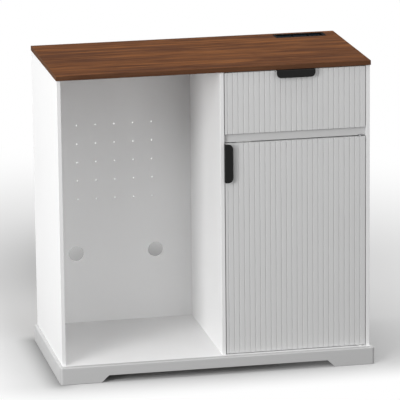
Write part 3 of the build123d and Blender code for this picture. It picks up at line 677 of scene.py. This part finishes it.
# Power unit. A moulded tub let into the top, with a flush rim, two socket inserts, a charging
# insert and a gland for its cord. The rim is black and the inserts are dark slate.
black_rim = moulded_plastic("black_rim_plastic", grey(0.008), grey(0.006), 0.6, gloss=0.01)
slate_insert = moulded_plastic(
    "slate_insert_plastic", (0.006, 0.01, 0.014, 1), (0.004, 0.007, 0.01, 1), 0.6, gloss=0.01
)
for node, name, material, arris in (
    ("power_bezel", "power_rim", black_rim, 0.5 * mm),
    ("power_housing", "power_tub", black_rim, 0.8 * mm),
    ("power_sockets", "socket_inserts", slate_insert, 0.35 * mm),
    ("charging_ports", "charging_insert", slate_insert, 0.3 * mm),
    ("power_gland", "cord_gland", black_rim, 0.8 * mm),
):
    power_mesh = joined_copy(node)
    ease(power_mesh, arris, shortest=1.5 * mm)
    power_piece = as_piece(power_mesh, name, material)
    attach(power_piece, "carcass")
    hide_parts(node)


# Fluted fronts. Lacquered fibreboard, routed with upright flutes by a round-nosed cutter, each
# flute's two edges sanded soft. The drawer's front and the cupboard's door are cut alike.
front_lacquer = lacquered_board("front_lacquer", grey(0.585), grey(0.565))
flute_arris = 0.35 * mm
for node, name, body in (
    ("drawer_front", "fluted_drawer_front", "drawer"),
    ("door_panel", "fluted_door", "door"),
):
    front_mesh = joined_copy(node)
    ease(front_mesh, flute_arris, shortest=100 * mm)
    front = as_piece(front_mesh, name, front_lacquer)
    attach(front, body)
    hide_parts(node)


# Edge pulls. Sheet steel bent over the front's edge, its rounded lip hanging clear of the face,
# powder-coated black. Each is screwed to the back of its front through a rear flange.
def powder_coat(name, value):
    """Matt black powder coat: a fine orange peel, and tone and gloss that vary a little."""
    material = new_material(name)
    place = object_place(material)
    peel = noise(material, place, 900.0, 2.0)
    rub = noise(material, place, 60.0, 3.0)
    dress(
        material,
        Base_Color=mixed(material, rub, grey(0.85 * value), grey(1.15 * value)),
        Roughness=between(material, rub, 0.5, 0.62),
        Normal=bumped(material, peel, 0.15, 0.1 * mm),
        Specular_IOR_Level=0.12,
    )
    return material


black_powder = powder_coat("black_powder_coat", 0.007)
pull_steel, pull_flange, pull_lip = 1.5 * mm, 18.0 * mm, 24.5 * mm
pull_corner, pull_bend, pull_arris = 15.0 * mm, 1.6 * mm, 0.3 * mm
for node, name, body, along, down in (
    ("drawer_pull", "drawer_edge_pull", "drawer", Vector((1, 0, 0)), Vector((0, 0, -1))),
    ("door_pull", "door_edge_pull", "door", Vector((0, 0, 1)), Vector((1, 0, 0))),
):
    pull_low, pull_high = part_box(node)
    forwards = Vector((0, -1, 0))
    half_steel = pull_steel / 2
    pull_length = (pull_high - pull_low).dot(along)
    pull_reach = pull_high.y - pull_low.y
    corner = Vector((
        pull_low.x if down.x else (pull_low.x + pull_high.x) / 2,
        pull_high.y,
        pull_high.z if down.z else (pull_low.z + pull_high.z) / 2,
    ))
    pull_mesh = bmesh.new()
    section = [
        pull_mesh.verts.new(corner + forwards * v + down * w - along * pull_length / 2)
        for v, w in (
            (half_steel, pull_flange), (half_steel, half_steel),
            (pull_reach - half_steel, half_steel), (pull_reach - half_steel, pull_lip),
        )
    ]
    outline = [pull_mesh.edges.new(pair) for pair in zip(section, section[1:])]
    drawn = bmesh.ops.extrude_edge_only(pull_mesh, edges=outline)["geom"]
    drawn_verts = [item for item in drawn if isinstance(item, bmesh.types.BMVert)]
    bmesh.ops.translate(pull_mesh, verts=drawn_verts, vec=along * pull_length)
    lip_line = corner.y - pull_reach + half_steel
    lip_end = (corner + down * pull_lip).dot(down)
    lip_corners = [
        vert for vert in pull_mesh.verts
        if abs(vert.co.y - lip_line) < 1e-6 and abs(vert.co.dot(down) - lip_end) < 1e-6
    ]
    bmesh.ops.bevel(
        pull_mesh, geom=lip_corners, offset=pull_corner, offset_type="OFFSET", affect="VERTICES",
        segments=10, profile=0.5, material=-1
    )
    bends = [edge for edge in pull_mesh.edges if edge.is_manifold]
    bmesh.ops.bevel(
        pull_mesh, geom=bends, offset=pull_bend, offset_type="OFFSET", affect="EDGES",
        segments=5, profile=0.5, material=-1
    )
    pull = as_piece(pull_mesh, name, black_powder, sheet=pull_steel, arris=pull_arris)
    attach(pull, body)
    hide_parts(node)

pull_screw = {"head_radius": 3.4 * mm, "head_height": 2.0 * mm, "shank_radius": 1.75 * mm, "sunk": False}
screws("drawer_pull_screws", "drawer_pull_fixings", "drawer", (0, 1, 0), **pull_screw)
screws("door_pull_screws", "door_pull_fixings", "door", (0, 1, 0), **pull_screw)


# Drawer box. Two lacquered sides and a back, cammed to the fluted front and screwed at the rear,
# with a thin white-faced bottom let into their grooves.
def into_drawer(corners):
    """From a side of the drawer towards its middle."""
    low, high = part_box("drawer_front")
    return (1, 0, 0) if corners[0].x < (low.x + high.x) / 2 else (-1, 0, 0)


def out_of_drawer(corners):
    return (-into_drawer(corners)[0], 0, 0)


box_arris = 0.6 * mm
for node, name, material, slot_name in (
    ("drawer_left_side", "left_box_side", white_lacquer, "white_board"),
    ("drawer_right_side", "right_box_side", white_lacquer, "white_board"),
    ("drawer_back", "box_back", white_lacquer, "white_board"),
    ("drawer_bottom", "box_bottom", white_facing, "thin_back"),
):
    box_mesh = joined_copy(node)
    ease(box_mesh, box_arris, shortest_eased)
    box_board = as_piece(box_mesh, name, material)
    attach(box_board, "drawer")
    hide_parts(node)

cam_locks("drawer_cam_locks", "drawer_cams", "drawer", into_drawer)
paint("drawer_cam_bolts", zinc)
small_screw = {"head_radius": 2.6 * mm, "head_height": 2.0 * mm, "shank_radius": 1.75 * mm}
screws("drawer_back_screws", "box_back_screws", "drawer", out_of_drawer, **small_screw)


# Drawer runners. Three rolled steel channels on each side, one inside another: the first is
# screwed to the panel, the last to the drawer, and the middle one travels half as far.
rolled_zinc = plated_steel("rolled_zinc", (0.68, 0.69, 0.71, 1), (0.56, 0.57, 0.6, 1), 0.3, (60, 3, 60))
runner_steel, runner_bend, runner_arris = 1.2 * mm, 1.8 * mm, 0.2 * mm
slot_radius, slot_reach, plate_reach = 2.2 * mm, 3.5 * mm, 9.0 * mm
slot_shares = (0.08, 0.33, 0.5, 0.67, 0.92)
slot_sides = 16


def runner_member(node, name, body, web_side):
    """A channel drawn along Y, with a row of long holes in its web.
    web_side is -1 if its web is on the left and 1 if it is on the right.
    """
    low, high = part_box(node)
    half = runner_steel / 2
    web = high.x - half if web_side > 0 else low.x + half
    lip = low.x if web_side > 0 else high.x
    top, foot = high.z - half, low.z + half
    bm = bmesh.new()
    section = [
        bm.verts.new((x, low.y, z)) for x, z in ((lip, top), (web, top), (web, foot), (lip, foot))
    ]
    outline = [bm.edges.new(pair) for pair in zip(section, section[1:])]
    drawn = bmesh.ops.extrude_edge_only(bm, edges=outline)["geom"]
    drawn_verts = [item for item in drawn if isinstance(item, bmesh.types.BMVert)]
    bmesh.ops.translate(bm, verts=drawn_verts, vec=(0, high.y - low.y, 0))
    bends = [edge for edge in bm.edges if edge.is_manifold]
    bmesh.ops.bevel(
        bm, geom=bends, offset=runner_bend, offset_type="OFFSET", affect="EDGES",
        segments=4, profile=0.5, material=-1
    )
    half_a_side = Matrix.Rotation(math.pi / slot_sides, 4, "Z")
    facing_sideways = Matrix.Rotation(math.pi / 2, 4, "Y")
    for share in slot_shares:
        y = low.y + share * (high.y - low.y)
        for side in (-1, 1):
            web_faces = [face for face in bm.faces if abs(face.normal.x) > 0.99]
            web_edges = {edge for face in web_faces for edge in face.edges}
            web_verts = {vert for face in web_faces for vert in face.verts}
            bmesh.ops.bisect_plane(
                bm, geom=web_faces + list(web_edges) + list(web_verts),
                plane_co=(0, y + side * plate_reach, 0), plane_no=(0, 1, 0), dist=1e-7
            )
        plate = next(
            face for face in bm.faces
            if abs(face.normal.x) > 0.99 and abs(face.calc_center_median().y - y) < 1 * mm
        )
        border = list(plate.edges)
        bmesh.ops.delete(bm, geom=[plate], context="FACES_ONLY")
        ring = bmesh.ops.create_circle(
            bm, cap_ends=False, segments=slot_sides, radius=slot_radius
        )["verts"]
        place = Matrix.Translation((web, y, (low.z + high.z) / 2))
        bmesh.ops.transform(bm, matrix=place @ facing_sideways @ half_a_side, verts=ring)
        for vert in ring:
            vert.co.y += slot_reach if vert.co.y > y else -slot_reach
        slot_edges = list({edge for vert in ring for edge in vert.link_edges})
        bmesh.ops.bridge_loops(bm, edges=border + slot_edges)
    member = as_piece(bm, name, rolled_zinc, sheet=runner_steel, arris=runner_arris)
    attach(member, body)
    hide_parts(node)


for side, web_side in (("left", -1), ("right", 1)):
    runner_member("runner_case_" + side, side + "_case_channel", "carcass", web_side)
    runner_member("runner_middle_" + side, side + "_middle_channel", "runner_middle_" + side, web_side)
    runner_member("runner_drawer_" + side, side + "_drawer_channel", "drawer", -web_side)

channel_screw = {"head_radius": 3.4 * mm, "head_height": 1.2 * mm, "shank_radius": 1.75 * mm}
screws("runner_case_screws", "case_channel_screws", "carcass", into_drawer, **channel_screw)
screws("runner_drawer_screws", "drawer_channel_screws", "drawer", out_of_drawer, **channel_screw)


# Door pivots. A steel pin at the door's top and bottom, near its right edge. The top one turns in
# a bracket let in under the rail, and the bottom one in a flanged nylon bush. Pins and bracket are
# plated dull and dark as painted shade, so that they read as the shade of the gap over the door.
# Painted shade: this dark plating makes the pivot pins and bracket read as the shade of the door's top
# gap.
gap_shade_dull_zinc = plated_steel("dull_zinc_plate", (0.32, 0.32, 0.33, 1), (0.26, 0.26, 0.27, 1), 0.6)
pivot_radius, pivot_end = 3.0 * mm, 0.5 * mm
collar_radius, collar_height, collar_easing = 6.0 * mm, 1.5 * mm, 0.2 * mm
pivot_mesh = bmesh.new()
door_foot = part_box("door_panel")[0].z
for low, high in solids_of("pivot_pins"):
    length = high.z - low.z
    collar = []
    if low.z < door_foot:
        collar_top = door_foot - low.z
        collar_low = collar_top - collar_height
        collar = [
            (pivot_radius, collar_low), (collar_radius - collar_easing, collar_low),
            (collar_radius, collar_low + collar_easing), (collar_radius, collar_top - collar_easing),
            (collar_radius - collar_easing, collar_top), (pivot_radius, collar_top),
        ]
    profile = [(0, 0), (pivot_radius - pivot_end, 0), (pivot_radius, pivot_end)] + collar + [
        (pivot_radius, length - pivot_end), (pivot_radius - pivot_end, length), (0, length)
    ]
    centre = (low + high) / 2
    put(turned(profile), pivot_mesh, [Matrix.Translation((centre.x, centre.y, low.z))])
pivots = as_piece(pivot_mesh, "turned_pivot_pins", gap_shade_dull_zinc)
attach(pivots, "door")
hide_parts("pivot_pins")

holder_arris = 0.3 * mm
for node, name, material, slot_name in (
    ("pivot_bracket", "pivot_plate", gap_shade_dull_zinc, "zinc"),
    ("pivot_bush", "flanged_bush", nylon, "pale_plastic"),
):
    holder_mesh = joined_copy(node)
    ease(holder_mesh, holder_arris)
    holder = as_piece(holder_mesh, name, material)
    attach(holder, "carcass")
    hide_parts(node)

screws("pivot_bracket_screws", "pivot_plate_screws", "carcass", (0, 0, -1), **small_screw)


# Magnetic catch. A moulded body screwed up under the rail, with a ferrite magnet between two steel
# plates, which holds a small steel plate on the back of the door.
catch_arris, magnet_arris, strike_arris = 0.7 * mm, 0.15 * mm, 0.2 * mm
catch_mesh = joined_copy("catch_body")
ease(catch_mesh, catch_arris, shortest=2 * mm)
catch = as_piece(catch_mesh, "catch_case", nylon)
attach(catch, "carcass")
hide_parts("catch_body")

ferrite = moulded_plastic(
    "ferrite", (0.045, 0.045, 0.048, 1), (0.03, 0.03, 0.032, 1), 0.6, texture=1500.0
)
pole_plate, ferrite_setback = 1.2 * mm, 0.3 * mm
magnet_low, magnet_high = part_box("catch_magnet")
magnet_size = magnet_high - magnet_low
magnet_mesh = bmesh.new()
for foot, height, setback, material in (
    (magnet_low.z, pole_plate, 0.0, 1),
    (magnet_low.z + pole_plate, magnet_size.z - 2 * pole_plate, ferrite_setback, 0),
    (magnet_high.z - pole_plate, pole_plate, 0.0, 1),
):
    size = Vector((magnet_size.x, magnet_size.y - setback, height))
    middle_x, middle_y = (magnet_low.x + magnet_high.x) / 2, magnet_high.y - size.y / 2
    layer = bmesh.new()
    bmesh.ops.create_cube(layer, size=1.0)
    bmesh.ops.scale(layer, vec=size, verts=layer.verts)
    ease(layer, magnet_arris, segments=1)
    for face in layer.faces:
        face.material_index = material
    put(layer, magnet_mesh, [Matrix.Translation((middle_x, middle_y, foot + height / 2))])
magnet = as_piece(magnet_mesh, "magnet_stack", ferrite, zinc)
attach(magnet, "carcass")
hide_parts("catch_magnet")

strike_mesh = joined_copy("strike_plate")
ease(strike_mesh, strike_arris)
strike = as_piece(strike_mesh, "catch_plate", zinc)
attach(strike, "door")
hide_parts("strike_plate")

strike_screw = {"head_radius": 1.75 * mm, "head_height": 1.0 * mm, "shank_radius": 1.75 * mm}
screws("catch_screws", "catch_fixings", "carcass", (0, 0, -1), **small_screw)
screws("strike_screws", "catch_plate_screws", "door", (0, 1, 0), **strike_screw)


# Camera. It stands to the left of the cabinet and above it, far off with a long lens, as the
# photograph was taken.
camera_place = Vector((-2.1721, -10.6278, 3.1899))
camera_azimuth = math.radians(-11.5355)
camera_fall = math.radians(13.889)
camera_roll = math.radians(-0.5946)
camera_lens = 313.876
camera_data = bpy.data.cameras.new("camera")
camera_data.lens = camera_lens
camera_data.sensor_width = 36.0
camera_data.clip_end = 200.0
camera = bpy.data.objects.new("camera", camera_data)
camera.location = camera_place
turn = (
    Matrix.Rotation(camera_azimuth, 4, "Z")
    @ Matrix.Rotation(math.pi / 2 - camera_fall, 4, "X")
    @ Matrix.Rotation(camera_roll, 4, "Z")
)
camera.rotation_euler = turn.to_euler()
bpy.context.scene.collection.objects.link(camera)
bpy.context.scene.camera = camera


# Floor. A plain pale floor without end, which keeps the cabinet's soft shadow. To the camera and
# to gloss it also carries a painted shadow, greyest behind the cabinet, and a painted contact shadow
# close along the plinth's left side, and it turns white away from the cabinet.
floor_size = 60.0
# The first grey, with the grey middle and reach below, paints a shadow on the floor behind the cabinet.
painted_shadow_grey, floor_pale, floor_bounce = grey(0.21), grey(0.58), grey(0.15)
painted_shadow_middle, painted_shadow_reach = (0.0, 1.1), (0.6, 1.1)
# A painted contact shadow along the plinth's left side: its grey, and how far out it fades.
painted_contact_shadow, painted_contact_reach = grey(0.06), 0.08
white_to_front, white_to_back = (-0.22, -0.47), (0.9, 3.06)
white_to_left, white_to_right = (-0.5, -0.85), (0.06, 2.0)


def reckoned(owner, operation, *values, **settings):
    """The result of a Math node on one value or two."""
    node = add_node(owner, "Math", dict(enumerate(values)), operation=operation, **settings)
    return node.outputs["Value"]


def directly_seen(owner):
    """1 to rays from the camera, from gloss and from glass, and 0 to all others."""
    rays = add_node(owner, "LightPath").outputs
    seen = rays["Is Camera Ray"]
    for kind in ("Is Glossy Ray", "Is Transmission Ray"):
        seen = reckoned(owner, "ADD", seen, rays[kind], use_clamp=True)
    return seen


def ramp(value, start, end):
    """How far a value has gone from start to end, from 0 to 1."""
    return between(floor_paint, value, 0.0, 1.0, start, end)


def smooth(value):
    node = add_node(floor_paint, "MapRange", {"Value": value}, interpolation_type="SMOOTHSTEP")
    return node.outputs["Result"]


def vector_of(x, y, z=0.0):
    return add_node(floor_paint, "CombineXYZ", {"X": x, "Y": y, "Z": z}).outputs["Vector"]


def length_of(vector):
    return add_node(floor_paint, "VectorMath", {0: vector}, operation="LENGTH").outputs["Value"]


floor_paint = new_material("pale_floor")
seen = directly_seen(floor_paint)
floor_place = add_node(floor_paint, "TexCoord").outputs["Object"]
floor_axes = add_node(floor_paint, "SeparateXYZ", {"Vector": floor_place}).outputs
across, back = floor_axes["X"], floor_axes["Y"]
sideways = reckoned(floor_paint, "ADD", ramp(across, *white_to_left), ramp(across, *white_to_right))
spread = vector_of(sideways, ramp(back, *white_to_back), ramp(back, *white_to_front))
white_share = reckoned(floor_paint, "MULTIPLY", smooth(length_of(spread)), seen)
# Painted shadow: greyest at its middle behind the cabinet, and paler out to its reach.
from_painted_shadow_middle = object_place(
    floor_paint, (1 / painted_shadow_reach[0], 1 / painted_shadow_reach[1], 0),
    shift=(-painted_shadow_middle[0] / painted_shadow_reach[0], -painted_shadow_middle[1] / painted_shadow_reach[1], 0)
)
painted_shadow_tone = mixed(floor_paint, smooth(length_of(from_painted_shadow_middle)), painted_shadow_grey, floor_pale)
# Painted contact shadow: darkest at the plinth's left side, fading out past its reach.
plinth_side, plinth_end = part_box("plinth_left")[0].x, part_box("plinth_left")[1].y
from_side = reckoned(floor_paint, "SUBTRACT", across, plinth_side)
past_end = reckoned(floor_paint, "SUBTRACT", reckoned(floor_paint, "ABSOLUTE", back), plinth_end)
beside = vector_of(from_side, reckoned(floor_paint, "MAXIMUM", past_end, 0.0))
clear = smooth(ramp(length_of(beside), -painted_contact_reach, painted_contact_reach))
painted_shadow_tone = mixed(floor_paint, clear, painted_contact_shadow, painted_shadow_tone)
shadowed = mixed(floor_paint, seen, floor_bounce, painted_shadow_tone)
dress(
    floor_paint,
    Base_Color=mixed(floor_paint, white_share, shadowed, grey(0.0)),
    Emission_Color=grey(1.0),
    Emission_Strength=white_share,
    Roughness=0.9,
    Specular_IOR_Level=0.0,
)
floor_mesh = bmesh.new()
bmesh.ops.create_grid(floor_mesh, x_segments=1, y_segments=1, size=floor_size)
floor_data = bpy.data.meshes.new("floor")
floor_mesh.to_mesh(floor_data)
floor_mesh.free()
floor_data.materials.append(floor_paint)
floor = bpy.data.objects.new("floor", floor_data)
bpy.context.scene.collection.objects.link(floor)
floor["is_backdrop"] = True


# Light. A wide key lamp low at the front left and a weaker one higher up, with broad fills from the
# left, the front, the right and overhead, under an even pale sky.
lamp_aim = Vector((0, 0, 0.45))
for name, place, width, height, power in (
    ("key", (-5.3, -3.7, 1.5), 2.0, 2.0, 210.0),
    ("high_key", (-4.0, -4.0, 4.0), 2.0, 2.0, 90.0),
    ("left_fill", (-5.0, 0.5, 3.2), 3.0, 3.0, 72.0),
    ("front_fill", (1.5, -7.0, 1.5), 2.5, 2.5, 64.0),
    ("right_fill", (4.0, -4.5, 3.0), 3.0, 3.0, 45.0),
    ("overhead", (0.0, 0.0, 6.0), 4.0, 4.0, 190.0),
):
    data = bpy.data.lights.new(name, "AREA")
    data.shape = "RECTANGLE"
    data.size, data.size_y = width, height
    data.energy = power
    lamp = bpy.data.objects.new(name, data)
    lamp.location = place
    lamp.rotation_euler = (lamp_aim - Vector(place)).to_track_quat("-Z", "Y").to_euler()
    lamp.visible_camera = False
    bpy.context.scene.collection.objects.link(lamp)

sky_strength = 0.35
world = bpy.data.worlds.new("studio")
world.use_nodes = True
bpy.context.scene.world = world
sky = world.node_tree.nodes["Background"]
sky.inputs["Color"].default_value = grey(1.0)
sky_level = between(world, directly_seen(world), sky_strength, 1.0, 0.0, 1.0)
world.node_tree.links.new(sky_level, sky.inputs["Strength"])

bpy.context.scene.view_settings.view_transform = "Standard"
low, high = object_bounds()
